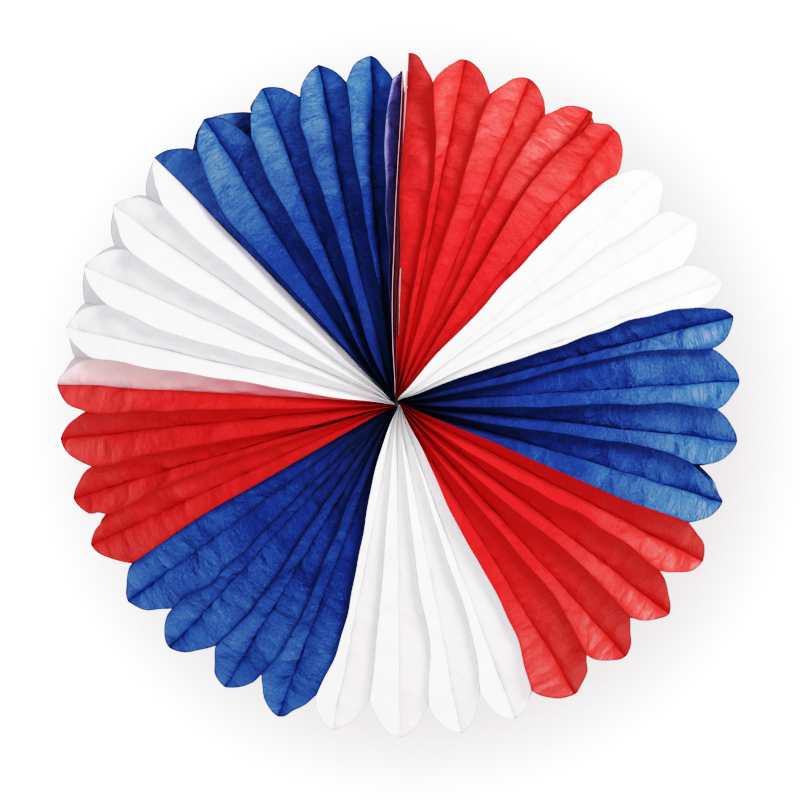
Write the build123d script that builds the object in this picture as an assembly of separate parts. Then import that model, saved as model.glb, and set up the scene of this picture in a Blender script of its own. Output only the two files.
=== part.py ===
from build123d import *
import os
from math import cos, radians, sqrt, tan

# A round hanging fan of folded tissue leaves, in millimetres
# It stands upright in the XZ plane and faces -Y, with the axis of its hub on Y and its seam at +Z

# The fan and the outline of one unfolded leaf, which is folded along the middle
fan_radius = 203.0
leaf_half_width = 27.0
tip_length = 15.0
tip_bulge = 2.3
paper_thickness = 0.15
hub_fill_share = 0.8

# The glue lines, along the fold and along each long edge
fold_glue_width = 3.0
edge_glue_width = 5.0

# The two end cards, their hanging hole and the adhesive strip between them
card_thickness = 0.4
card_foot_half_width = 8.0
card_setback = 6.0
hole_radius = 2.0
hole_inset = 9.0
hole_overrun = 1.5
tape_length = 40.0
tape_width = 18.0
tape_setback = 7.0

# The thread loop in the hub, whose section has as many sides as the thread has strands
thread_radius = 0.5
thread_gap = 0.2
thread_strands = 6

# The folds, clockwise from the seam in degrees: the first and the last lie on the end cards
fold_angles = [
    0.7, 9.8, 20.8, 32.1, 37.1, 47.2, 57.2, 68.0, 74.1, 84.9,
    95.1, 105.5, 115.9, 126.3, 136.5, 147.0, 158.1, 167.6, 178.1, 189.7,
    199.5, 209.8, 221.4, 232.2, 243.7, 252.2, 262.5, 271.8, 281.5, 292.2,
    303.4, 314.0, 324.5, 335.4, 345.6, 355.0, 359.3,
]

# The leaves of each colour, clockwise from the seam
colour_leaf_counts = [
    ("red", 9), ("white", 6), ("blue", 8), ("red", 8), ("white", 8),
    ("blue", 8), ("red", 7), ("white", 8), ("blue", 10),
]
leaf_colours = [colour for colour, count in colour_leaf_counts for _ in range(count)]

# What follows from these sizes
pitches = [after - before for before, after in zip(fold_angles, fold_angles[1:])]
hub_radius = paper_thickness / (hub_fill_share * tan(radians(min(pitches) / 2)))
shoulder = fan_radius - tip_length
card_end = fan_radius - card_setback
card_angle = fold_angles[0]
hole_height = card_end - hole_inset


def outline(foot, foot_depth, top_shoulder, shoulder_depth, top):
    """The side view of a leaf or card: two long edges, and a rounded end that is flat across the fold."""
    half_glue = fold_glue_width / 2
    edges = []
    for side in (1, -1):
        shoulder_point = (side * shoulder_depth, top_shoulder)
        top_point = (side * half_glue, top)
        edges.append(Line((side * foot_depth, foot), shoulder_point))
        edges.append(SagittaArc(top_point, shoulder_point, side * tip_bulge))
    edges.append(Line((-half_glue, top), (half_glue, top)))
    edges.append(Line((-foot_depth, foot), (foot_depth, foot)))
    return Plane.YZ * make_face(edges)


def section(distance, depth, half_pitch):
    """The corners of the zigzag that a leaf shows when it is cut across at a distance from the hub."""
    far = distance * tan(half_pitch)
    near = [
        (far - paper_thickness, depth),
        (far - paper_thickness, depth - edge_glue_width),
        (0, fold_glue_width / 2),
    ]
    under = near + [(x, -y) for x, y in reversed(near)]
    over = [(x + paper_thickness, y) for x, y in reversed(under)]
    return [Vector(x, y, distance) for x, y in under + over]


def zigzag_strip(inner, outer):
    """The solid that runs from one section to another, with a flat face along each pair of edges."""
    faces = [Face(Wire.make_polygon(inner)), Face(Wire.make_polygon(outer))]
    for corner in range(len(inner)):
        sides = [inner[corner - 1], inner[corner], outer[corner], outer[corner - 1]]
        faces.append(Face(Wire.make_polygon(sides)))
    return Solid(Shell(faces))


def folded_leaf(half_pitch):
    """One leaf, with its fold on Z, which opens towards +X until its edges meet the next leaf's."""
    shoulder_depth = sqrt(leaf_half_width**2 - (shoulder * tan(half_pitch)) ** 2)
    flat_depth = fold_glue_width / 2 + edge_glue_width
    flat_distance = paper_thickness / tan(half_pitch)
    slope = (shoulder_depth - flat_depth) / (shoulder - flat_distance)
    ends = []
    for distance in (hub_radius, fan_radius):
        depth = flat_depth + slope * (distance - flat_distance)
        ends.append(section(distance, depth, half_pitch))
    side_view = outline(0, shoulder_depth, shoulder, shoulder_depth, fan_radius)
    return Part() + zigzag_strip(*ends) & extrude(side_view, amount=fan_radius, both=True)


def clockwise_leaf(fold):
    half_pitch = radians(pitches[fold] / 2)
    return folded_leaf(half_pitch).rotate(Axis.Y, fold_angles[fold])


def anticlockwise_leaf(fold):
    half_pitch = radians(pitches[fold - 1] / 2)
    return mirror(folded_leaf(half_pitch), about=Plane.YZ).rotate(Axis.Y, fold_angles[fold])


def end_card(angle, side):
    """One stiff card, as tall as a leaf less its setback, pressed flat against the other near the hub."""
    card_shoulder = card_end - tip_length
    side_view = outline(hub_radius, card_foot_half_width, card_shoulder, leaf_half_width, card_end)
    card = extrude(side_view, amount=-side * card_thickness).rotate(Axis.Y, angle)
    return split(card, bisect_by=Plane.YZ, keep=Keep.TOP if side > 0 else Keep.BOTTOM)


def card_gap(height):
    """Half the gap between the two cards at a height above the hub."""
    return height * tan(radians(card_angle)) - card_thickness / cos(radians(card_angle))


def seam_tape():
    """The adhesive strip, a thin wedge that fills the gap between the cards."""
    bottom = card_thickness / tan(radians(card_angle)) + tape_setback
    top = bottom + tape_length
    corners = [
        (-card_gap(bottom), bottom),
        (card_gap(bottom), bottom),
        (card_gap(top), top),
        (-card_gap(top), top),
    ]
    wedge = Plane.XZ * Polygon(*corners, align=None)
    return extrude(wedge, amount=tape_width / 2, both=True)


def centre_tie():
    """The thread that is drawn tight round the inner ends of the folds."""
    loop_radius = hub_radius - thread_gap - thread_radius
    strand_section = Plane.XY * Pos(loop_radius, 0) * RegularPolygon(thread_radius, thread_strands)
    return revolve(strand_section, Axis.Y)


def hanging_hole():
    """The punch that goes through both cards and the paper glued on their outer faces."""
    reach = hole_height * tan(radians(card_angle)) + hole_overrun
    return Cylinder(hole_radius, 2 * reach).rotate(Axis.Y, 90).moved(Pos(0, 0, hole_height))


# The nodes: two leaves of one colour that are glued along their fold are a petal
nodes = {}
for fold in range(len(fold_angles)):
    leaves = []
    if fold > 0:
        leaves.append((leaf_colours[2 * fold - 1], anticlockwise_leaf(fold)))
    if fold < len(pitches):
        leaves.append((leaf_colours[2 * fold], clockwise_leaf(fold)))
    colours = {colour for colour, leaf in leaves}
    if len(leaves) == 2 and len(colours) == 1:
        nodes[f"{leaves[0][0]}_petal_{fold:02d}"] = leaves[0][1] + leaves[1][1]
    else:
        for colour, leaf in leaves:
            nodes[f"{colour}_leaf_{fold:02d}"] = leaf

last_fold = len(pitches)
first_leaf = f"{leaf_colours[0]}_leaf_00"
last_leaf = f"{leaf_colours[-1]}_leaf_{last_fold:02d}"
nodes[first_leaf] -= hanging_hole()
nodes[last_leaf] -= hanging_hole()
nodes[f"{leaf_colours[0]}_end_card"] = end_card(fold_angles[0], 1) - hanging_hole()
nodes[f"{leaf_colours[-1]}_end_card"] = end_card(fold_angles[-1], -1) - hanging_hole()
nodes["seam_tape"] = seam_tape()
nodes["centre_tie"] = centre_tie()

os.makedirs("parts", exist_ok=True)
for name, solid in nodes.items():
    export_step(solid, f"parts/{name}.step")
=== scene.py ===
import bpy
import numpy as np
from mathutils import Matrix, Vector


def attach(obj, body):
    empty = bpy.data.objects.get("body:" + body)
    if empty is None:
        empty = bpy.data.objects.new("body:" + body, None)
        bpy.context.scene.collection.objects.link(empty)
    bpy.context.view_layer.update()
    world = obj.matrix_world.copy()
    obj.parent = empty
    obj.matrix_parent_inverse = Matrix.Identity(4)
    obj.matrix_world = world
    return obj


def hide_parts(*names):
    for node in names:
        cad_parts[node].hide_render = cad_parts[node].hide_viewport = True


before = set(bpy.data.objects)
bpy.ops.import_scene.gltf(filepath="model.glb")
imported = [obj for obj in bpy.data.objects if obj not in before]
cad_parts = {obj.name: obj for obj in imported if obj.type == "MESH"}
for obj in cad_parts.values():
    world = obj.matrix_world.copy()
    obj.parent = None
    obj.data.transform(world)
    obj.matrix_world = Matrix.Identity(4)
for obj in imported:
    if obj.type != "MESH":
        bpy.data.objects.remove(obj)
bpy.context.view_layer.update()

# A folded tissue fan, hung upright and seen from the front (-Y). Lengths are in metres, and in mm in the
# tables of distances. Angles are in degrees, clockwise from the seam, which is at the top.

fan = dict(
    foldAngles=[
        0.7, 9.8, 20.8, 32.1, 37.1, 47.2, 57.2, 68.0, 74.1, 84.9, 95.1, 105.5,
        115.9, 126.3, 136.5, 147.0, 158.1, 167.6, 178.1, 189.7, 199.5, 209.8, 221.4, 232.2,
        243.7, 252.2, 262.5, 271.8, 281.5, 292.2, 303.4, 314.0, 324.5, 335.4, 345.6, 355.0, 359.3,
    ],
    colourRuns=[
        ("red", 9), ("white", 6), ("blue", 8), ("red", 8), ("white", 8),
        ("blue", 8), ("red", 7), ("white", 8), ("blue", 10),
    ],
    leafHalfWidth=0.027,
    shoulder=0.188,  # from the hub to where the leaf's rounded end begins
    foldGlue=0.003,
    edgeGlue=0.005,
    depthAtHub=0.0065,
    paper=0.00015,
    seed=11,
)

# How far each petal's tip reaches, and where the front and back edges of each pocket end, in mm
reach = dict(
    tips=[
        208.0, 208.0, 208.0, 208.0, 207.5, 205.7, 207.5, 206.3, 206.3, 203.9, 203.3, 202.1,
        204.5, 204.5, 202.7, 202.7, 200.3, 199.7, 198.5, 197.9, 199.1, 197.3, 198.5, 198.5,
        200.3, 200.3, 200.9, 202.1, 201.5, 202.7, 205.1, 205.1, 203.9, 203.3, 206.3, 206.9, 197.0,
    ],
    frontNotches=[
        189.5, 189.0, 190.0, 199.0, 186.0, 189.0, 186.0, 186.0, 188.5, 188.5, 177.5, 185.5,
        183.5, 185.5, 185.5, 187.0, 176.5, 178.0, 175.0, 178.5, 178.5, 178.5, 179.5, 182.5,
        181.5, 183.5, 182.0, 180.5, 180.5, 182.0, 179.5, 189.5, 177.5, 188.5, 190.0, 190.0,
    ],
    backNotches={10: 186.0, 27: 196.0, 28: 197.0, 29: 194.5, 30: 195.5, 32: 195.0},
    backNotchStray=2.0,  # mm at random for the other back edges
    pointed=0.25,  # share of a straight tip in the round one
    rounder={0: 0.0, 1: 0.12, 2: 0.12, 3: 0.1, 4: 0.0},
    straightAfter={34: 0.6, 35: 0.6},  # on the clockwise side alone
)

# The lean of each pocket's front edge from the pocket's middle, at these distances from the hub in mm
ridges = dict(
    stations=[30, 60, 90, 119, 149, 176, 190],
    lean=[
        [0.5, 1.3, 2.2, 2.6, 2.35, 0.35, -0.35],
        [-1.5, -1.4, -0.8, -0.2, -0.2, -0.1, 0.0],
        [-3.6, -1.35, -1.85, -2.55, -2.35, -1.35, -0.55],
        [-4.0, -4.7, -4.5, -5.0, -5.0, -3.5, -1.5],
        [-5.5, -2.0, -1.55, -1.55, -1.3, -0.15, 0.65],
        [-3.0, -1.5, -1.0, -0.5, 0.0, 0.3, 0.6],
        [-3.0, -1.0, -0.5, 0.0, 0.0, 0.0, 0.0],
        [-5.4, -2.45, -1.95, -1.95, -1.75, -0.75, 0.05],
        [-0.9, -0.9, -2.5, -3.0, -2.9, -1.2, -0.4],
        [2.6, 1.1, -0.1, -0.9, -1.4, -0.7, -0.4],
        [1.5, 0.8, -0.7, -1.7, -1.8, 0.0, 0.6],
        [0.0, 0.1, 0.5, 1.1, 0.9, 0.3, 0.1],
        [2.5, 1.5, 0.0, -1.0, -1.3, -0.2, 0.5],
        [1.5, 0.7, -0.5, -1.5, -1.6, -0.6, 0.0],
        [0.0, -0.65, -1.65, -2.45, -2.15, -0.75, 0.05],
        [-2.95, -0.3, -0.65, -1.5, -1.4, 0.25, 1.55],
        [-3.0, -2.25, -1.95, -2.45, -2.45, -0.1, 0.0],
        [-1.0, -0.8, -0.75, -1.55, -1.95, -0.2, 0.0],
        [0.0, -0.3, -0.5, -0.5, -0.4, 0.1, 0.1],
        [3.0, 0.0, -2.0, -2.9, -2.7, -0.3, 0.0],
        [1.0, 0.0, -1.05, -2.05, -1.85, 0.3, 0.5],
        [0.0, -1.0, -1.5, -2.0, -2.2, 0.0, 0.3],
        [0.0, -1.0, -1.7, -2.2, -2.2, -0.4, 0.1],
        [0.5, 0.6, 0.65, 0.85, 0.35, -0.4, -0.65],
        [1.5, 1.6, 1.65, 1.65, 0.65, -0.4, -0.75],
        [-3.5, -2.75, -1.25, -0.45, -0.5, -0.7, -0.55],
        [-2.5, -1.55, -0.55, -0.4, -0.35, -0.5, -0.55],
        [-3.5, -1.05, -0.05, 0.0, 0.15, 0.4, 0.55],
        [1.0, 1.25, -0.25, -0.95, -1.15, 0.6, 0.95],
        [0.0, 0.0, -0.2, -0.2, -0.2, 0.0, 0.8],
        [-1.0, -0.8, -0.8, -0.8, -0.8, -0.6, 0.9],
        [-4.0, -3.5, -3.35, -3.65, -3.3, -0.65, 1.35],
        [-8.3, -2.0, -1.55, -1.55, -1.35, -0.15, 0.0],
        [-9.9, -3.9, -1.9, -1.4, -1.5, -0.8, 0.8],
        [-1.0, -0.7, -1.4, -1.9, -1.4, -0.9, -1.0],
        [-3.0, -2.3, -1.85, -1.6, -1.5, -0.3, 0.85],
    ],
    backLean={32: 1.7},  # how much further a pocket's back edge leans
    backLeanFullAt=0.15,
    backStray=0.8,  # degrees at random for each back edge
    likeFrontWithin=0.06,  # the back edges follow the front ones near the hub
    widestShare=0.8,  # the most of a panel's width that may lie across instead of deep
    leanSpread=7,
    depthSpread=4,
)

# How far the folds themselves drift at these distances in mm, for the few that aren't straight
foldDrift = dict(
    stations=[30, 60, 90, 119, 149, 178],
    drift={
        0: [-2.9, -1.5, -0.5, -1.4, -0.85, -0.25],
        32: [-2.9, -2.9, -2.4, -1.4, -0.6, 0.0],
        33: [-2.8, -2.8, -2.3, -1.5, -0.8, 0.0],
        34: [-3.2, -3.2, -2.7, -1.8, -0.9, -0.1],
        35: [-3.4, -3.2, -3.0, -3.1, -2.2, -0.7],
        36: [-4.7, -3.3, -1.8, -1.0, -0.25, 0.2],
    },
    spread=9,
)

# The grid of half a leaf, and how it curls between its fold and its glued edge
leafGrid = dict(
    rows=100, panelColumns=11, finColumns=2,
    foldCurl=0.35, slackCurl=0.9, mostSlack=0.25,
    foldGlueFrom=0.02,  # the strip on the fold has its full width from this depth on
    finDrop=0.15, finLean=0.0003,
    apart=0.48,  # share of the paper's thickness between a sheet's middle and the glued line
    patternStep=0.08,  # so that each leaf reads its own part of the patterns
)
# The inner ends: where they start, how far they are twisted, pressed and drawn to the ridges beside them
hub = dict(
    frontStart=0.0017, foldStart=0.0052, startSlope=3, sweep=60.0, sweepLength=0.003,
    pressedWithin=0.012, pressedShare=0.2, pull=0.6, pullLength=0.028,
)
# The slow wander of folds and ridges, in degrees
wander = dict(waves=4, lengths=(0.025, 0.09), folds=0.1, ridges=0.2)
# Creases: a few slow waves and a few short ones, with their heights and the range of their lengths
creases = dict(
    kinds=[dict(height=0.0019, lengths=(0.024, 0.06)), dict(height=0.0009, lengths=(0.010, 0.02))],
    ofEach=3, slant=0.9, sharpness=0.96, room=0.006, fullAt=0.1,
)

foldAngles = np.array(fan["foldAngles"])
lastFold = len(foldAngles) - 1
leafColours = [colour for colour, count in fan["colourRuns"] for _ in range(count)]
ruler = np.arange(0.0, 0.2151, 0.001)  # distances from the hub, one for each millimetre


# A line of values on the ruler, each replaced by the bell-weighted mean of its neighbours.
def softened(values, spread):
    offsets = np.arange(-3 * spread, 3 * spread + 1)
    bell = np.exp(-0.5 * (offsets / spread) ** 2)
    padded = np.pad(values, 3 * spread, mode="edge")
    return np.convolve(padded, bell / bell.sum(), mode="valid")


# Half the sum of a few sines along the ruler, with random lengths and phases.
def wavy(rng, amount):
    line = np.zeros_like(ruler)
    for length in rng.uniform(*wander["lengths"], wander["waves"]):
        line += np.sin(2 * np.pi * (ruler / length + rng.uniform(0, 1)))
    return amount * line / 2


# How far a fold strays from its own angle at each distance on the ruler.
def driftOf(fold):
    if fold not in foldDrift["drift"]:
        return np.zeros_like(ruler)
    stations = np.array(foldDrift["stations"]) / 1000
    return softened(np.interp(ruler, stations, foldDrift["drift"][fold]), foldDrift["spread"])


# The twist of the inner ends: it dies away with distance from the axis.
def hubTurn():
    return -hub["sweep"] * np.exp(-ruler / hub["sweepLength"])


# Angle of a fold at each distance: its own angle, its drift, and the pull and the twist near the hub.
def foldLine(fold):
    rng = np.random.default_rng(fan["seed"] + fold)
    angle = foldAngles[fold] + driftOf(fold)
    beside = [ridges["lean"][pocket][0] for pocket in (fold - 1, fold) if 0 <= pocket < lastFold]
    angle += hub["pull"] * np.mean(beside) * np.exp(-(ruler / hub["pullLength"]) ** 2)
    if 0 < fold < lastFold:
        angle += wavy(rng, wander["folds"])
    return angle + hubTurn()


# Angle, depth, panel width and end of the glued edge of a pocket, at each distance on the ruler.
# The edge stands where a panel of the leaf's width reaches from the farther fold.
def pocketLines(pocket, front):
    rng = np.random.default_rng(fan["seed"] + 100 + 2 * pocket + front)
    middle = (foldAngles[pocket] + foldAngles[pocket + 1]) / 2
    halfPitch = np.radians((foldAngles[pocket + 1] - foldAngles[pocket]) / 2)
    stations = np.array(ridges["stations"]) / 1000
    lean = np.interp(ruler, stations, ridges["lean"][pocket])
    if not front:
        drift = (driftOf(pocket) + driftOf(pocket + 1)) / 2
        likeFront = np.exp(-(ruler / ridges["likeFrontWithin"]) ** 2)
        lean = drift + (lean - drift) * likeFront + rng.uniform(-ridges["backStray"], ridges["backStray"])
        backLean = ridges["backLean"].get(pocket, 0.0)
        lean = lean + backLean * np.clip(ruler / ridges["backLeanFullAt"], 0, 1)
    angle = middle + softened(lean, ridges["leanSpread"]) + wavy(rng, wander["ridges"]) + hubTurn()
    shoulderDepth = np.sqrt(fan["leafHalfWidth"] ** 2 - (fan["shoulder"] * np.tan(halfPitch)) ** 2)
    plainDepth = fan["depthAtHub"] + (shoulderDepth - fan["depthAtHub"]) * ruler / fan["shoulder"]
    panelWidth = np.hypot(ruler * np.tan(halfPitch), plainDepth)
    spans = [ruler * np.radians(abs(angle - foldLine(fold))) for fold in (pocket, pocket + 1)]
    span = np.minimum(np.maximum(*spans), ridges["widestShare"] * panelWidth)
    depth = softened(np.sqrt(panelWidth ** 2 - span ** 2), ridges["depthSpread"])
    end = reach["frontNotches"][pocket]
    if not front:
        stray = rng.uniform(-reach["backNotchStray"], reach["backNotchStray"])
        end = reach["backNotches"].get(pocket, end + stray)
    return dict(angle=angle, depth=depth, width=panelWidth, end=end / 1000)


# An S curve across a panel: it keeps to both ends for longer the greater its curl.
def curled(across, curl):
    return across - curl * np.sin(2 * np.pi * across) / (2 * np.pi)


# Half a leaf, from its fold to the glued edge of a pocket, on a grid of rows by columns.
# Across: a strip on the fold, an S curve to the edge, then the glued strip.
# Along: from the hub to a rounded end. The pointed share of its drop grows with the share across and
# the rest with the square of that share, and the glued strip drops a little further.
def leafHalf(fold, pocket, front):
    side = 1 if pocket == fold else -1
    outward = 1 if front else -1
    edge = pocketLines(pocket, front)
    rows = np.linspace(0, 1, leafGrid["rows"])[:, None]
    panel = np.linspace(0, 1, leafGrid["panelColumns"] + 1)
    fin = np.linspace(0, 1, leafGrid["finColumns"] + 1)[1:]
    strip = np.concatenate([[0.0], np.ones(len(panel) + len(fin))])
    across = np.concatenate([[0.0], panel, np.ones(len(fin))])
    finShare = np.concatenate([np.zeros(len(panel) + 1), fin])
    share = np.linspace(0, 1, len(across))

    tip = reach["tips"][fold] / 1000
    pointed = reach["rounder"].get(fold, reach["pointed"])
    if side > 0:
        pointed = reach["straightAfter"].get(fold, pointed)
    rounded = curled(across, leafGrid["foldCurl"])
    drop = pointed * rounded + (1 - pointed) * rounded ** 2 + leafGrid["finDrop"] * finShare
    end = tip - (tip - edge["end"]) * drop
    inwards = np.minimum(1, hub["startSlope"] * share)
    start = hub["foldStart"] + (hub["frontStart"] - hub["foldStart"]) * inwards
    distance = start + rows * (end - start)

    def along(line):
        return np.interp(distance, ruler, line)

    depth = along(edge["depth"])
    foldAngle = along(foldLine(fold))
    turn = np.radians(along(edge["angle"]) - foldAngle)
    chord = np.hypot(distance * turn, depth)
    slack = np.clip(along(edge["width"]) / chord - 1, 0, leafGrid["mostSlack"])
    curl = leafGrid["foldCurl"] + leafGrid["slackCurl"] * np.sqrt(slack)
    deep = strip * fan["foldGlue"] / 2 * np.minimum(1, depth / leafGrid["foldGlueFrom"])
    deep = deep + across * (depth - fan["edgeGlue"] - deep) + finShare * fan["edgeGlue"]
    tangent = distance * turn * curled(across, curl)

    # The two papers of a glued line lie side by side, thinner where the hub presses them
    gap = leafGrid["apart"] * fan["paper"] * pressed(distance)
    tangent += side * gap * (1 - 2 * across)

    rng = np.random.default_rng(fan["seed"] + 500 + 4 * fold + 2 * (side > 0) + front)
    crease = leafCrease(rng, distance, across) * np.minimum(1, distance * np.abs(turn) / creases["room"])
    crease *= np.sin(np.pi * across) ** 2
    tangent += crease * depth / chord
    deep -= crease * side * tangent / chord
    tangent += rng.uniform(-leafGrid["finLean"], leafGrid["finLean"]) * finShare
    flat = share * fan["leafHalfWidth"]
    return distance, foldAngle, tangent, outward * deep, end - distance, outward * flat


# Share of the paper's full thickness: the hub squeezes the inner ends.
def pressed(distance):
    return np.clip(distance / hub["pressedWithin"], hub["pressedShare"], 1)


# Paper creases: slow waves along the leaf and shorter ones, that cross it on a slant.
def leafCrease(rng, distance, across):
    crease = np.zeros_like(distance)
    for kind in creases["kinds"]:
        for length in rng.uniform(*kind["lengths"], creases["ofEach"]):
            slant = rng.uniform(-creases["slant"], creases["slant"])
            turns = distance / length + slant * across + rng.uniform(0, 1)
            wave = np.arcsin(creases["sharpness"] * np.sin(2 * np.pi * turns))
            crease += kind["height"] / creases["ofEach"] * wave
    return crease * np.clip(distance / creases["fullAt"], 0, 1)


# The whole leaf: its back half, turned over, and its front half share the fold.
# It comes with its flat plan (place across, distance) and its rim plan (way to the end, way to the fold).
def leafSheet(fold, pocket):
    front = leafHalf(fold, pocket, True)
    back = leafHalf(fold, pocket, False)
    joined = [np.concatenate([behind[..., :0:-1], ahead], axis=-1) for behind, ahead in zip(back, front)]
    distance, angle, tangent, deep, toRim, flat = joined
    theta = np.radians(angle) + tangent / distance
    points = np.stack([distance * np.sin(theta), -deep, distance * np.cos(theta)], axis=-1)
    leaf = 2 * pocket + (fold != pocket)
    across = np.broadcast_to(flat + leafGrid["patternStep"] * leaf, distance.shape)
    plan = np.stack([across, distance], axis=-1)
    rim = np.stack([toRim, np.broadcast_to(np.abs(flat), distance.shape)], axis=-1)
    return points, plan, rim


# Quads of a grid of points, counted row by row from the first one.
def sheetFaces(rows, columns, first, flip):
    index = first + np.arange(rows * columns).reshape(rows, columns)
    quads = [index[:-1, :-1], index[:-1, 1:], index[1:, 1:], index[1:, :-1]]
    quads = np.stack(quads[::-1] if flip else quads, axis=-1)
    return quads.reshape(-1, 4)


# A smooth mesh in the scene, from points and faces as arrays.
def smoothPiece(name, points, faces, material):
    mesh = bpy.data.meshes.new(name)
    mesh.from_pydata(points.tolist(), [], faces.tolist())
    mesh.polygons.foreach_set("use_smooth", np.ones(len(mesh.polygons), dtype=bool))
    mesh.materials.append(material)
    piece = bpy.data.objects.new(name, mesh)
    bpy.context.scene.collection.objects.link(piece)
    return piece


# One object of one or two sheets, given the thickness of paper or card.
def paperPiece(name, sheets, material, thickness=fan["paper"]):
    points, plans, rims, faces, count = [], [], [], [], 0
    for sheet, plan, rim, flip in sheets:
        rows, columns = sheet.shape[:2]
        points.append(sheet.reshape(-1, 3))
        plans.append(plan.reshape(-1, 2))
        rims.append(rim.reshape(-1, 2))
        faces.append(sheetFaces(rows, columns, count, flip))
        count += rows * columns
    points, plans, rims, faces = (np.concatenate(part) for part in (points, plans, rims, faces))
    piece = smoothPiece(name, points, faces, material)
    mesh = piece.data
    corners = np.empty(len(mesh.loops), dtype=np.int32)
    mesh.loops.foreach_get("vertex_index", corners)
    for layer, values in (("leafPlan", plans), ("leafRim", rims)):
        uv = mesh.uv_layers.new(name=layer)
        uv.data.foreach_set("uv", values[corners].astype(np.float32).ravel())
    mesh.update()
    thin = piece.vertex_groups.new(name="thickness")
    weights = np.round(pressed(plans[:, 1]), 1)
    for weight in np.unique(weights):
        thin.add(np.flatnonzero(weights == weight).tolist(), float(weight), "REPLACE")
    solid = piece.modifiers.new("paper", "SOLIDIFY")
    solid.thickness = thickness
    solid.offset = 0
    solid.vertex_group = thin.name
    piece.modifiers.new("normals", "WEIGHTED_NORMAL")
    return piece


# Materials. Colours: near the hub (painted light: painted shade on blue, painted brightening on white),
# between (deep), near the rim (pale, with painted sheen) and on the cut edge (a painted line of shade)

tissue = dict(
    red=dict(paintedHubLight=(0.60, 0.012, 0.016), deep=(0.60, 0.012, 0.016), pale=(0.64, 0.046, 0.042),
             edge=(0.22, 0.006, 0.01), crumple=0.0034, edgeShadeWidth=0.0013, hair=0.12, letsThrough=0.28),
    white=dict(paintedHubLight=(0.98, 0.975, 0.98), deep=(0.94, 0.93, 0.945), pale=(0.96, 0.955, 0.965),
               edge=(0.62, 0.61, 0.64), crumple=0.0018, edgeShadeWidth=0.0009, hair=0.05, letsThrough=0.28),
    blue=dict(paintedHubLight=(0.008, 0.018, 0.095), deep=(0.012, 0.034, 0.17), pale=(0.055, 0.115, 0.345),
              edge=(0.006, 0.012, 0.05), crumple=0.0050, edgeShadeWidth=0.0013, hair=0.35, letsThrough=0.28),
    paintedHubLightBetween=(0.015, 0.085), paleSheenBetween=(0.105, 0.19), palestSheen=0.85,
    edgeShadeFrom=0.0002, edgeShadeShare=0.75,
    roughBetween=(0.12, 0.19), roughness=(0.9, 0.5),
    bendScale=60, bendBy=0.012,  # the facets are bent by a soft noise
    facetScale=62, facetStretch=0.55, smallScale=150, smallStretch=0.45, smallShare=0.35,
    fibreScale=700, cloudScale=45, wrinkleScale=190, stretch=0.3,
    hairScale=230, hairSlant=0.6, hairWidth=0.03,  # fine creases, where a noise crosses its middle
    fibreTone=0.3, cloudTone=0.13, wrinkleTone=0.15, facetTone=0.13,
    crumpleBetween=(0.04, 0.15), crumpleAtHub=0.35,
    wrinkle=0.35, wrinkleHair=0.6, wrinkleFibre=0.1,
    backingAndLightUneven=0.06,
)
# Leaves with painted light from what lies behind them: white_leaf_27 is painted pink by light through the
# red leaf behind it, and blue_leaf_36 takes the pale card it is glued on plus painted light that lifts the
# strip the card shades. Its tint, and its share near the hub and near the tip
backingsAndLight = dict(
    white_leaf_27=dict(tint=(0.92, 0.30, 0.34), share=(0.95, 0.22), between=(0.08, 0.198)),
    blue_leaf_36=dict(tint=(0.34, 0.33, 0.74), share=(0.7, 0.9), between=(0.08, 0.198)),
)
noiseBand = (0.3, 0.7)  # where most of a noise texture's values lie


def shaderTree(name):
    material = bpy.data.materials.new(name)
    material.use_nodes = True
    tree = material.node_tree
    tree.nodes.clear()
    return material, tree


# A node with its settings, and its inputs linked where a socket is given and set where a value is.
def addNode(tree, kind, inputs=None, **settings):
    node = tree.nodes.new(kind)
    for key, value in settings.items():
        setattr(node, key, value)
    for key, value in (inputs or {}).items():
        if isinstance(value, bpy.types.NodeSocket):
            tree.links.new(value, node.inputs[key])
        else:
            node.inputs[key].default_value = value
    return node


def noiseOn(tree, vector, scale, detail=3.0, roughness=0.55, distortion=0.0):
    return addNode(tree, "ShaderNodeTexNoise", {
        "Vector": vector, "Scale": scale, "Detail": detail,
        "Roughness": roughness, "Distortion": distortion}).outputs["Fac"]


# Random cells, whose distances and colours make the flat facets of crumpled paper.
def facetsOn(tree, vector, scale):
    return addNode(tree, "ShaderNodeTexVoronoi", {"Vector": vector, "Scale": scale}, feature="F1").outputs


# Draws a pattern out across the leaf, and turns it by a slant.
def stretched(tree, vector, share, slant=0.0):
    return addNode(tree, "ShaderNodeMapping", {
        "Vector": vector, "Rotation": (0, 0, slant), "Scale": (share, 1, 1)}).outputs["Vector"]


def rangeOf(tree, value, fromMin, fromMax, toMin, toMax):
    return addNode(tree, "ShaderNodeMapRange", {
        "Value": value, "From Min": fromMin, "From Max": fromMax,
        "To Min": toMin, "To Max": toMax}).outputs["Result"]


def combined(tree, first, second, operation="ADD"):
    return addNode(tree, "ShaderNodeMath", {0: first, 1: second}, operation=operation).outputs[0]


def blendColours(tree, factor, first, second):
    ends = [end if isinstance(end, bpy.types.NodeSocket) else (*end, 1) for end in (first, second)]
    return addNode(tree, "ShaderNodeMix", {
        "Factor": factor, 6: ends[0], 7: ends[1]}, data_type="RGBA").outputs[2]


def blendShaders(tree, factor, first, second):
    return addNode(tree, "ShaderNodeMixShader", {0: factor, 1: first, 2: second}).outputs[0]


# A place on one of the piece's own UV maps, as its two coordinates.
def uvPlace(tree, layer):
    plan = addNode(tree, "ShaderNodeUVMap", uv_map=layer).outputs["UV"]
    parts = addNode(tree, "ShaderNodeSeparateXYZ", {"Vector": plan}).outputs
    return plan, parts["X"], parts["Y"]
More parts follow.
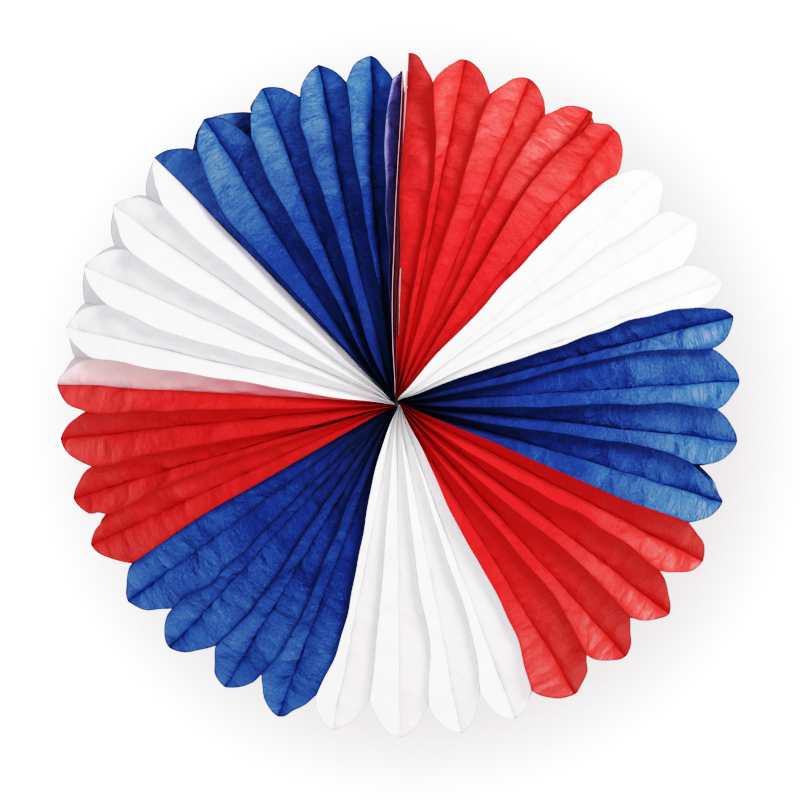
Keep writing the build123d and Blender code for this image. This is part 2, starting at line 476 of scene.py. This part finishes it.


# Tissue paper: crumpled facets and cross wrinkles, paler towards the rim by painted sheen, with a painted
# line of shade along the cut edge and painted light near the hub, and thin enough to let light through.
def tissueMaterial(colour, backingAndLight=None, name=None):
    look = tissue[colour]
    material, tree = shaderTree("tissue_" + (name or colour))
    plan, _, along = uvPlace(tree, "leafPlan")
    _, toRim, _ = uvPlace(tree, "leafRim")

    bend = addNode(tree, "ShaderNodeTexNoise", {
        "Vector": plan, "Scale": tissue["bendScale"], "Detail": 2.0}).outputs["Color"]
    shift = addNode(tree, "ShaderNodeVectorMath", {
        0: bend, 1: (tissue["bendBy"], tissue["bendBy"], 0)}, operation="MULTIPLY").outputs[0]
    bent = addNode(tree, "ShaderNodeVectorMath", {0: plan, 1: shift}, operation="ADD").outputs[0]
    facets = facetsOn(tree, stretched(tree, bent, tissue["facetStretch"]), tissue["facetScale"])
    small = facetsOn(tree, stretched(tree, bent, tissue["smallStretch"]), tissue["smallScale"])
    fibres = noiseOn(tree, plan, tissue["fibreScale"], 4)
    clouds = noiseOn(tree, plan, tissue["cloudScale"], 2)
    drawnOut = stretched(tree, plan, tissue["stretch"])
    wrinkles = noiseOn(tree, drawnOut, tissue["wrinkleScale"], 3, 0.55, 0.4)
    slanted = stretched(tree, plan, tissue["stretch"], tissue["hairSlant"])
    middle = combined(tree, noiseOn(tree, slanted, tissue["hairScale"], 2, 0.5, 0.5), 0.5, "SUBTRACT")
    contour = combined(tree, middle, 0, "ABSOLUTE")
    hair = rangeOf(tree, contour, 0.0, tissue["hairWidth"], look["hair"], 0.0)

    # painted sheen: paler towards the rim, standing in for the shine of lit panels and for light let through
    # the single sheet
    rim = rangeOf(tree, along, *tissue["paleSheenBetween"], 0.0, tissue["palestSheen"])
    fleck = rangeOf(tree, fibres, *noiseBand, -tissue["fibreTone"], tissue["fibreTone"])
    cloud = rangeOf(tree, clouds, *noiseBand, -tissue["cloudTone"], tissue["cloudTone"])
    cross = rangeOf(tree, wrinkles, *noiseBand, -tissue["wrinkleTone"], tissue["wrinkleTone"])
    cells = addNode(tree, "ShaderNodeSeparateColor", {"Color": facets["Color"]}).outputs[0]
    patch = rangeOf(tree, cells, 0, 1, -tissue["facetTone"], tissue["facetTone"])
    factor = rim
    for tone in (fleck, cloud, cross, patch, hair):
        factor = combined(tree, factor, tone)
    plain = blendColours(tree, factor, look["deep"], look["pale"])
    # painted light near the hub: blue is painted darker where the deep folds lie in shade, white is painted
    # brighter against that shade
    paintedHubLight = rangeOf(tree, along, *tissue["paintedHubLightBetween"], 1.0, 0.0)
    plain = blendColours(tree, paintedHubLight, plain, look["paintedHubLight"])
    # painted light: the tint of what lies behind, as light coming through the thin paper (and on
    # blue_leaf_36 partly the card it is glued on)
    if backingAndLight:
        uneven = combined(tree, along, combined(tree, cloud, tissue["backingAndLightUneven"], "MULTIPLY"))
        behind = rangeOf(tree, uneven, *backingAndLight["between"], *backingAndLight["share"])
        plain = blendColours(tree, behind, plain, backingAndLight["tint"])
    # painted shade: a dark line along the cut edge of each leaf
    edge = rangeOf(tree, toRim, tissue["edgeShadeFrom"], look["edgeShadeWidth"], tissue["edgeShadeShare"], 0.0)
    colourOut = blendColours(tree, edge, plain, look["edge"])

    outer = rangeOf(tree, along, *tissue["crumpleBetween"], tissue["crumpleAtHub"], 1.0)
    smallCrumple = combined(tree, small["Distance"], tissue["smallShare"], "MULTIPLY")
    crumple = combined(tree, facets["Distance"], smallCrumple)
    coarse = addNode(tree, "ShaderNodeBump", {
        "Height": combined(tree, crumple, outer, "MULTIPLY"), "Strength": 1.0,
        "Distance": look["crumple"]}).outputs["Normal"]
    relief = combined(tree, wrinkles, combined(tree, hair, tissue["wrinkleHair"], "MULTIPLY"))
    relief = combined(tree, relief, combined(tree, fibres, tissue["wrinkleFibre"], "MULTIPLY"))
    normal = addNode(tree, "ShaderNodeBump", {
        "Height": relief, "Strength": 0.8, "Distance": tissue["wrinkle"] * look["crumple"],
        "Normal": coarse}).outputs["Normal"]
    rough = rangeOf(tree, along, *tissue["roughBetween"], *tissue["roughness"])
    paper = addNode(tree, "ShaderNodeBsdfPrincipled", {
        "Base Color": colourOut, "Roughness": rough, "Specular IOR Level": 0.5, "Normal": normal})
    through = addNode(tree, "ShaderNodeBsdfTranslucent", {"Color": colourOut, "Normal": normal})
    surface = blendShaders(tree, look["letsThrough"], paper.outputs[0], through.outputs[0])
    addNode(tree, "ShaderNodeOutputMaterial", {"Surface": surface})
    return material


# A matt finish of two close colours, mottled and bumped by one noise on Object coordinates.
# A painted shade takes over along the front edge, up to a height: dark red for the shaded gap between the
# cards.
def plainMaterial(name, look, paintedEdgeShade=None):
    material, tree = shaderTree(name)
    place = addNode(tree, "ShaderNodeTexCoord").outputs["Object"]
    grain = noiseOn(tree, place, look["scale"], 5, 0.6)
    bump = addNode(tree, "ShaderNodeBump", {
        "Height": grain, "Strength": 0.5, "Distance": look["bump"]}).outputs["Normal"]
    colour = blendColours(tree, rangeOf(tree, grain, *noiseBand, 0.0, 1.0), look["deep"], look["pale"])
    if paintedEdgeShade:
        _, toEdge, height = uvPlace(tree, "leafRim")
        strip = rangeOf(tree, toEdge, *paintedEdgeShade["strip"], 1.0, 0.0)
        low = rangeOf(tree, height, *paintedEdgeShade["between"], *paintedEdgeShade["share"])
        colour = blendColours(tree, combined(tree, strip, low, "MULTIPLY"), colour, paintedEdgeShade["tint"])
    surface = addNode(tree, "ShaderNodeBsdfPrincipled", {
        "Base Color": colour, "Roughness": look["roughness"], "Specular IOR Level": 0.3,
        "Normal": bump}).outputs[0]
    if "letsThrough" in look:
        through = addNode(tree, "ShaderNodeBsdfTranslucent", {"Color": colour}).outputs[0]
        surface = blendShaders(tree, look["letsThrough"], surface, through)
    addNode(tree, "ShaderNodeOutputMaterial", {"Surface": surface})
    return material


# The hanging hole goes through both cards and the two leaves glued on them

hole = dict(radius=0.002, height=0.188, length=0.02, sides=32)


# Cuts the hanging hole through a piece: its paper's thickness is made real first.
def punchHole(piece):
    bpy.ops.mesh.primitive_cylinder_add(
        vertices=hole["sides"], radius=hole["radius"], depth=hole["length"],
        location=(0, 0, hole["height"]), rotation=(0, np.pi / 2, 0))
    punch = bpy.context.object
    cut = piece.modifiers.new("hole", "BOOLEAN")
    cut.operation = "DIFFERENCE"
    cut.solver = "EXACT"
    cut.object = punch
    bpy.context.view_layer.update()
    graph = bpy.context.evaluated_depsgraph_get()
    solid = bpy.data.meshes.new_from_object(
        piece.evaluated_get(graph), preserve_all_data_layers=True, depsgraph=graph)
    solid.name = piece.name
    piece.modifiers.clear()
    piece.data = solid
    bpy.data.objects.remove(punch)


# The leaves: two of one colour that are glued along their fold are one petal

materials = {colour: tissueMaterial(colour) for colour in ("red", "white", "blue")}
for node, backingAndLight in backingsAndLight.items():
    materials[node] = tissueMaterial(node.split("_")[0], backingAndLight, node)
print("tissue materials made")

pieceCount = 0
for fold in range(lastFold + 1):
    leaves = []
    if fold > 0:
        leaves.append((leafColours[2 * fold - 1], fold - 1))
    if fold < lastFold:
        leaves.append((leafColours[2 * fold], fold))
    shared = len(leaves) == 2 and leaves[0][0] == leaves[1][0]
    groups = [leaves] if shared else [[leaf] for leaf in leaves]
    for group in groups:
        colour = group[0][0]
        node = f"{colour}_{'petal' if shared else 'leaf'}_{fold:02d}"
        sheets = [(*leafSheet(fold, pocket), pocket == fold) for _, pocket in group]
        piece = paperPiece(f"tissue_{node}", sheets, materials.get(node, materials[colour]))
        if fold in (0, lastFold):
            punchHole(piece)
        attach(piece, "root")
        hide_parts(node)
        pieceCount += 1
print("leaves made:", pieceCount, "pieces")

# The two end cards: they touch along their back edges and gape at the front
# Each front half leans by these degrees at these distances in mm

cards = dict(
    thickness=0.0004, footHalfWidth=0.008, foot=0.005, top=0.197, shoulder=0.182,
    rows=120, columns=28, roundness=0.999,
    stations=[20, 60, 85, 120, 145, 170, 197],
    redLean=[0.3, 0.2, 0.1, 0.1, 0.1, -0.15, -0.3],
    blueLean=[-0.3, -0.3, -0.1, -0.1, -0.1, -0.05, 0.0],
    backMeet=0.45,  # each back edge takes this share of the way between the cards
    outwards=0.9,  # how far a card moves off its fold, in halves of its thickness
    look=dict(deep=(0.62, 0.33, 0.38), pale=(0.80, 0.50, 0.55), scale=900, roughness=0.8, bump=0.0003,
              letsThrough=0.5),
    # painted shade: dark red on the red card's front edge below its rounded end, where the gap between the
    # cards lies in shade
    redEdgeShade=dict(tint=(0.26, 0.02, 0.025), share=(0.95, 0.0), between=(0.150, 0.176),
                  strip=(0.0008, 0.0022)),
)


# A card seen flat: width straight out from the foot to the shoulder, then a round end.
# Its front half leans with the square of the share across, its back edge meets the other card.
def cardSheet(fold, frontLean):
    along = np.linspace(0, 1, cards["rows"])[:, None]
    across = np.linspace(-1, 1, cards["columns"] + 1)[None, :]
    straight = cards["foot"] + along * (cards["shoulder"] - cards["foot"])
    rise = cards["top"] - cards["shoulder"]
    height = straight + along ** 3 * rise * np.sqrt(1 - cards["roundness"] * across ** 2)
    halfWidth = cards["footHalfWidth"] + (fan["leafHalfWidth"] - cards["footHalfWidth"]) * along
    depth = across * np.broadcast_to(halfWidth, height.shape)
    lean = np.interp(height, np.array(cards["stations"]) / 1000, frontLean)
    redAngle = np.interp(height, ruler, foldLine(0))
    blueAngle = np.interp(height, ruler, foldLine(lastFold)) - 360
    own, outwards = (redAngle, -cards["outwards"]) if fold == 0 else (blueAngle, cards["outwards"])
    meet = (redAngle + blueAngle - 2 * own) * cards["backMeet"]
    swing = np.where(across > 0, lean, meet) * across ** 2
    theta = np.radians(own + swing) + outwards * cards["thickness"] / 2 / height
    points = np.stack([height * np.sin(theta), -depth, height * np.cos(theta)], axis=-1)
    plan = np.stack([depth, height], axis=-1)
    rim = np.stack([halfWidth - depth, height], axis=-1)
    return points, plan, rim


for colour, fold, paintedEdgeShade in (("red", 0, cards["redEdgeShade"]), ("blue", lastFold, None)):
    sheet = (*cardSheet(fold, cards[f"{colour}Lean"]), False)
    cardMaterial = plainMaterial(f"card_{colour}", cards["look"], paintedEdgeShade)
    piece = paperPiece(f"card_{colour}", [sheet], cardMaterial, cards["thickness"])
    punchHole(piece)
    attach(piece, "root")
    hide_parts(f"{colour}_end_card")
print("end cards made")

# The adhesive strip keeps its CAD shape

tapeLook = dict(deep=(0.16, 0.10, 0.10), pale=(0.26, 0.17, 0.16), scale=300, roughness=0.5, bump=0.0002)
tapeMaterial = plainMaterial("tape", tapeLook)
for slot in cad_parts["seam_tape"].material_slots:
    slot.material = tapeMaterial

# The thread: one full turn round the hub, then a flat coil that ends in the middle

thread = dict(
    loopRadius=0.0043, radius=0.00038, pitch=0.00068, steps=360, sides=8,
    strands=3, twists=9, strandHeight=0.14,
    look=dict(deep=(0.03, 0.004, 0.008), pale=(0.10, 0.012, 0.02), scale=3000, roughness=0.85, bump=0.0003),
)


# A tube swept along the coil, with a section that swells three times round for its strands.
def threadCoil():
    turns = 1 + thread["loopRadius"] / thread["pitch"]
    turn = np.linspace(0, turns, thread["steps"])
    radius = thread["loopRadius"] - thread["pitch"] * np.clip(turn - 1, 0, None)
    angle = 2 * np.pi * turn
    out = np.stack([np.sin(angle), 0 * angle, np.cos(angle)], axis=-1)
    side = np.linspace(0, 2 * np.pi, thread["sides"] + 1)
    strand = np.cos(thread["strands"] * side + thread["twists"] * angle[:, None])
    swell = thread["radius"] * (1 - thread["strandHeight"] + thread["strandHeight"] * strand)
    points = (radius[:, None] + swell * np.cos(side))[..., None] * out[:, None, :]
    points[..., 1] += swell * np.sin(side)
    return points


coil = threadCoil()
coilFaces = sheetFaces(*coil.shape[:2], 0, False)
coilMaterial = plainMaterial("thread", thread["look"])
coilPiece = smoothPiece("thread_coil", coil.reshape(-1, 3), coilFaces, coilMaterial)
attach(coilPiece, "root")
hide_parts("centre_tie")
print("tape and thread finished")

# Studio: camera as in the photograph, a key light from the upper right, a soft white surround

studio = dict(
    cameraDistance=1.3, frameWidth=0.4756, roll=1.4, aim=(0.0018, 0.0018),
    keyPlace=(0.25, -0.42, 0.27), keyPower=5.5, keySize=0.2,
    backPlace=(-0.3, 0.8, 0.5), backStrength=0.8, backSpread=40, fillTint=(0.96, 0.965, 1.0),
    brightSide=(0.55, -0.6, 0.58), surroundBright=1.5, surroundDim=0.88, glossyShare=0.4,
    floorHeight=-0.32, floorSize=0.8,
    floorLook=dict(deep=(0.80, 0.80, 0.80), pale=(0.84, 0.84, 0.84), scale=30, roughness=0.9, bump=0.0002),
    shadeCentre=(0.0105, -0.0075), shadeFrom=0.178, shadeTo=0.236, shadeTone=1.27, backTone=3.5,
)
# The picture's tones: how bright each scene value is shown. The reds then get a curve of their own.
tones = [
    (0.02, 0.005), (0.05, 0.015), (0.08, 0.038), (0.11, 0.068), (0.16, 0.13), (0.25, 0.265), (0.4, 0.405),
    (0.6, 0.50), (0.8, 0.61), (1.0, 0.725), (1.3, 0.835), (1.6, 0.90), (2.0, 0.945), (2.6, 0.98), (3.2, 1.0),
]
redTones = [
    (0.1, 0.1), (0.14, 0.165), (0.2, 0.218), (0.25, 0.252), (0.31, 0.305), (0.36, 0.37), (0.5, 0.53),
    (0.6, 0.62), (0.73, 0.74), (0.91, 0.9),
]


# The camera looks along +Y, rolled a little, with the fan's centre just off the frame's.
def makeCamera():
    roll = np.radians(studio["roll"])
    right = Vector((np.cos(roll), 0, np.sin(roll)))
    up = Vector((-np.sin(roll), 0, np.cos(roll)))
    cameraData = bpy.data.cameras.new("camera")
    cameraData.lens = cameraData.sensor_width * studio["cameraDistance"] / studio["frameWidth"]
    camera = bpy.data.objects.new("camera", cameraData)
    aimRight, aimUp = studio["aim"]
    place = right * aimRight + up * aimUp + Vector((0, -studio["cameraDistance"], 0))
    axes = Matrix((right, up, Vector((0, -1, 0)))).transposed()
    camera.matrix_world = Matrix.Translation(place) @ axes.to_4x4()
    bpy.context.scene.collection.objects.link(camera)
    bpy.context.scene.camera = camera


# A lamp at a place, turned to shine on the hub.
def placeLamp(light, place):
    lamp = bpy.data.objects.new(light.name, light)
    lamp.rotation_mode = "QUATERNION"
    lamp.rotation_quaternion = Vector(place).to_track_quat("Z", "Y")
    lamp.location = place
    bpy.context.scene.collection.objects.link(lamp)
    return lamp


def makeLamps():
    key = bpy.data.lights.new("keyLight", "AREA")
    key.shape = "DISK"
    key.size = studio["keySize"]
    key.energy = studio["keyPower"]
    placeLamp(key, studio["keyPlace"]).visible_camera = False
    back = bpy.data.lights.new("backLight", "SUN")
    back.energy = studio["backStrength"]
    back.angle = np.radians(studio["backSpread"])
    placeLamp(back, studio["backPlace"])


# What lights the fan is brighter on one side. What the camera sees is the wall with its shade.
def makeSurround():
    world = bpy.data.worlds.new("surround")
    bpy.context.scene.world = world
    world.use_nodes = True
    tree = world.node_tree
    tree.nodes.clear()
    path = addNode(tree, "ShaderNodeLightPath").outputs
    heading = addNode(tree, "ShaderNodeTexCoord").outputs["Generated"]
    facing = addNode(tree, "ShaderNodeVectorMath", {
        0: heading, 1: studio["brightSide"]}, operation="DOT_PRODUCT").outputs["Value"]
    shine = rangeOf(tree, facing, -1, 1, studio["surroundDim"], studio["surroundBright"])
    glossy = rangeOf(tree, path["Is Glossy Ray"], 0, 1, 1, studio["glossyShare"])
    lit = addNode(tree, "ShaderNodeBackground", {
        "Color": (*studio["fillTint"], 1), "Strength": combined(tree, shine, glossy, "MULTIPLY")})
    seen = addNode(tree, "ShaderNodeBackground", {
        "Color": (1, 1, 1, 1), "Strength": wallShade(tree, heading)})
    surround = blendShaders(tree, path["Is Camera Ray"], lit.outputs[0], seen.outputs[0])
    addNode(tree, "ShaderNodeOutputWorld", {"Surface": surround})


# The soft shade that the fan throws on a far white wall, as seen from the front: its darkness
# falls with the square of the distance beyond the inner radius.
def wallShade(tree, heading):
    far = studio["cameraDistance"]
    centre = Vector((studio["shadeCentre"][0], far, studio["shadeCentre"][1])).normalized()
    facing = addNode(tree, "ShaderNodeVectorMath", {
        0: heading, 1: centre}, operation="DOT_PRODUCT").outputs["Value"]
    inner, outer = (np.cos(np.arctan(studio[key] / far)) for key in ("shadeFrom", "shadeTo"))
    share = rangeOf(tree, facing, inner, outer, 0, 1)
    return rangeOf(tree, combined(tree, share, 2, "POWER"), 0, 1, studio["shadeTone"], studio["backTone"])


# Plain view with a curve over it: middle tones lifted, bright ones eased towards white.
def showTones():
    view = bpy.context.scene.view_settings
    view.view_transform = "Standard"
    view.use_curve_mapping = True
    mapping = view.curve_mapping
    brightest = tones[-1][0]
    mapping.white_level = (brightest, brightest, brightest)
    mapping.extend = "HORIZONTAL"
    for bright, shown in tones[:-1]:
        mapping.curves[3].points.new(bright / brightest, shown)
    for bright, shown in redTones:
        mapping.curves[0].points.new(bright, shown)
    mapping.update()


# A flat square below the fan, out of the camera's sight from the front.
def makeFloor():
    corners = np.array([(-1, -1), (1, -1), (1, 1), (-1, 1)]) * studio["floorSize"] / 2
    points = np.column_stack([corners, np.full(4, studio["floorHeight"])])
    floorPaint = plainMaterial("floorPaint", studio["floorLook"])
    floor = smoothPiece("floor", points, np.array([(0, 1, 2, 3)]), floorPaint)


makeCamera()
makeLamps()
makeSurround()
showTones()
makeFloor()
print("studio made")
